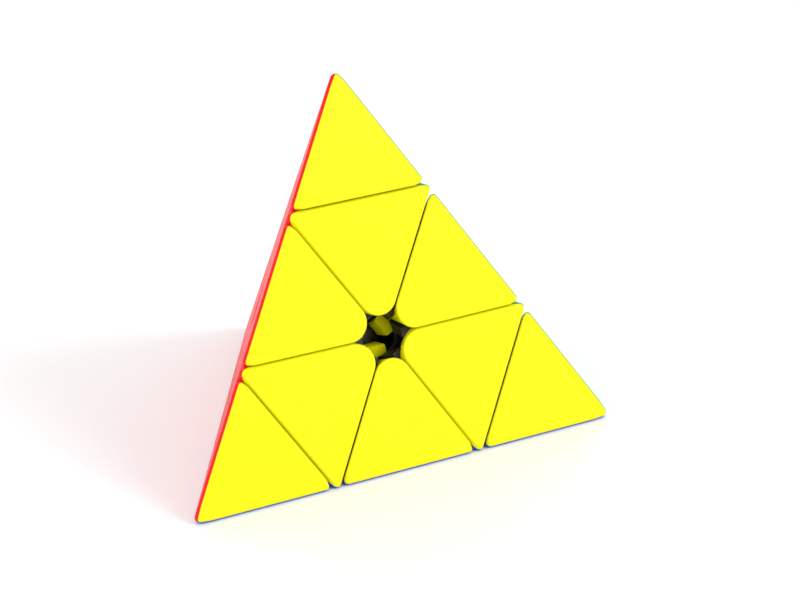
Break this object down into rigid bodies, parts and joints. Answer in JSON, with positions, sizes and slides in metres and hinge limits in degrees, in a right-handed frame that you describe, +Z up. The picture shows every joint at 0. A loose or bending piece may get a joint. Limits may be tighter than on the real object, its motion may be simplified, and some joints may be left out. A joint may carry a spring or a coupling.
{
  "type": "pyramid twisty puzzle",
  "caption": "Tetrahedral twisty puzzle in four plastic colours: corner layers and tips turn about a sprung core, with edge pieces held by hidden feet",
  "frame": {"origin": "centre of the blue face, on the plane that the puzzle stands on", "axes": "+Z up through the top point; -Y faces out of the yellow face; +X from the left corner to the right corner"},
  "size_m": [0.0954, 0.0828, 0.0778],
  "materials": {
    "yellow_abs": "satin, self-coloured",
    "red_abs": "satin, self-coloured",
    "green_abs": "satin, self-coloured",
    "blue_abs": "satin, self-coloured",
    "black_abs": "fine matt",
    "black_nylon": "smooth, lubricated",
    "steel": "zinc plated",
    "spring_steel": "drawn wire"
  },
  "bodies": {
    "core": {"core_spider": "black_nylon", "axle_screw_top": "steel", "axle_screw_left": "steel", "axle_screw_right": "steel", "axle_screw_back": "steel", "spring_washer_top": "steel", "spring_washer_left": "steel", "spring_washer_right": "steel", "spring_washer_back": "steel", "tension_spring_top": "spring_steel", "tension_spring_left": "spring_steel", "tension_spring_right": "spring_steel", "tension_spring_back": "spring_steel"},
    "axle_top": {"axle_body_top": "black_abs", "axle_cap_top_green": "green_abs", "axle_cap_top_red": "red_abs", "axle_cap_top_yellow": "yellow_abs"},
    "axle_left": {"axle_body_left": "black_abs", "axle_cap_left_blue": "blue_abs", "axle_cap_left_red": "red_abs", "axle_cap_left_yellow": "yellow_abs"},
    "axle_right": {"axle_body_right": "black_abs", "axle_cap_right_blue": "blue_abs", "axle_cap_right_green": "green_abs", "axle_cap_right_yellow": "yellow_abs"},
    "axle_back": {"axle_body_back": "black_abs", "axle_cap_back_blue": "blue_abs", "axle_cap_back_green": "green_abs", "axle_cap_back_red": "red_abs"},
    "tip_top": {"tip_clip_top": "black_nylon", "tip_shell_top_green": "green_abs", "tip_shell_top_red": "red_abs", "tip_shell_top_yellow": "yellow_abs"},
    "tip_left": {"tip_clip_left": "black_nylon", "tip_shell_left_blue": "blue_abs", "tip_shell_left_red": "red_abs", "tip_shell_left_yellow": "yellow_abs"},
    "tip_right": {"tip_clip_right": "black_nylon", "tip_shell_right_blue": "blue_abs", "tip_shell_right_green": "green_abs", "tip_shell_right_yellow": "yellow_abs"},
    "tip_back": {"tip_clip_back": "black_nylon", "tip_shell_back_blue": "blue_abs", "tip_shell_back_green": "green_abs", "tip_shell_back_red": "red_abs"},
    "edge_top_left": {"edge_top_left_red": "red_abs", "edge_top_left_yellow": "yellow_abs"},
    "edge_top_right": {"edge_top_right_green": "green_abs", "edge_top_right_yellow": "yellow_abs"},
    "edge_top_back": {"edge_top_back_green": "green_abs", "edge_top_back_red": "red_abs"},
    "edge_left_right": {"edge_left_right_blue": "blue_abs", "edge_left_right_yellow": "yellow_abs"},
    "edge_left_back": {"edge_left_back_blue": "blue_abs", "edge_left_back_red": "red_abs"},
    "edge_right_back": {"edge_right_back_blue": "blue_abs", "edge_right_back_green": "green_abs"}
  },
  "joints": [
    {"name": "layer_top_turn", "type": "hinge", "parent": "core", "child": "axle_top", "pos_m": [0, 0, 0.02], "axis": [0, 0, 1], "range_deg": [-600, 480]},
    {"name": "layer_left_turn", "type": "hinge", "parent": "core", "child": "axle_left", "pos_m": [0, 0, 0.02], "axis": [-0.8165, -0.4714, -0.3333], "range_deg": [-600, 480]},
    {"name": "layer_right_turn", "type": "hinge", "parent": "core", "child": "axle_right", "pos_m": [0, 0, 0.02], "axis": [0.8165, -0.4714, -0.3333], "range_deg": [-600, 480]},
    {"name": "layer_back_turn", "type": "hinge", "parent": "core", "child": "axle_back", "pos_m": [0, 0, 0.02], "axis": [0, 0.9428, -0.3333], "range_deg": [-600, 480]},
    {"name": "tip_top_turn", "type": "hinge", "parent": "axle_top", "child": "tip_top", "pos_m": [0, 0, 0.02], "axis": [0, 0, 1], "continuous": true},
    {"name": "tip_left_turn", "type": "hinge", "parent": "axle_left", "child": "tip_left", "pos_m": [0, 0, 0.02], "axis": [-0.8165, -0.4714, -0.3333], "continuous": true},
    {"name": "tip_right_turn", "type": "hinge", "parent": "axle_right", "child": "tip_right", "pos_m": [0, 0, 0.02], "axis": [0.8165, -0.4714, -0.3333], "continuous": true},
    {"name": "tip_back_turn", "type": "hinge", "parent": "axle_back", "child": "tip_back", "pos_m": [0, 0, 0.02], "axis": [0, 0.9428, -0.3333], "continuous": true},
    {"name": "edge_top_left_swing", "type": "hinge", "parent": "axle_top", "child": "edge_top_left", "pos_m": [0, 0, 0.02], "axis": [-0.8165, -0.4714, -0.3333], "range_deg": [-600, 480]},
    {"name": "edge_top_right_swing", "type": "hinge", "parent": "axle_top", "child": "edge_top_right", "pos_m": [0, 0, 0.02], "axis": [0.8165, -0.4714, -0.3333], "range_deg": [-600, 480]},
    {"name": "edge_top_back_swing", "type": "hinge", "parent": "axle_top", "child": "edge_top_back", "pos_m": [0, 0, 0.02], "axis": [0, 0.9428, -0.3333], "range_deg": [-600, 480]},
    {"name": "edge_left_right_swing", "type": "hinge", "parent": "axle_left", "child": "edge_left_right", "pos_m": [0, 0, 0.02], "axis": [0.8165, -0.4714, -0.3333], "range_deg": [-600, 480]},
    {"name": "edge_left_back_swing", "type": "hinge", "parent": "axle_back", "child": "edge_left_back", "pos_m": [0, 0, 0.02], "axis": [-0.8165, -0.4714, -0.3333], "range_deg": [-600, 480]},
    {"name": "edge_right_back_swing", "type": "hinge", "parent": "axle_right", "child": "edge_right_back", "pos_m": [0, 0, 0.02], "axis": [0, 0.9428, -0.3333], "range_deg": [-600, 480]}
  ],
  "couplings": [
    {"joint": "edge_top_left_swing", "follows": "layer_left_turn", "ratio": 1},
    {"joint": "edge_top_right_swing", "follows": "layer_right_turn", "ratio": 1},
    {"joint": "edge_top_back_swing", "follows": "layer_back_turn", "ratio": 1},
    {"joint": "edge_left_right_swing", "follows": "layer_right_turn", "ratio": 1},
    {"joint": "edge_left_back_swing", "follows": "layer_left_turn", "ratio": 1},
    {"joint": "edge_right_back_swing", "follows": "layer_back_turn", "ratio": 1}
  ]
}
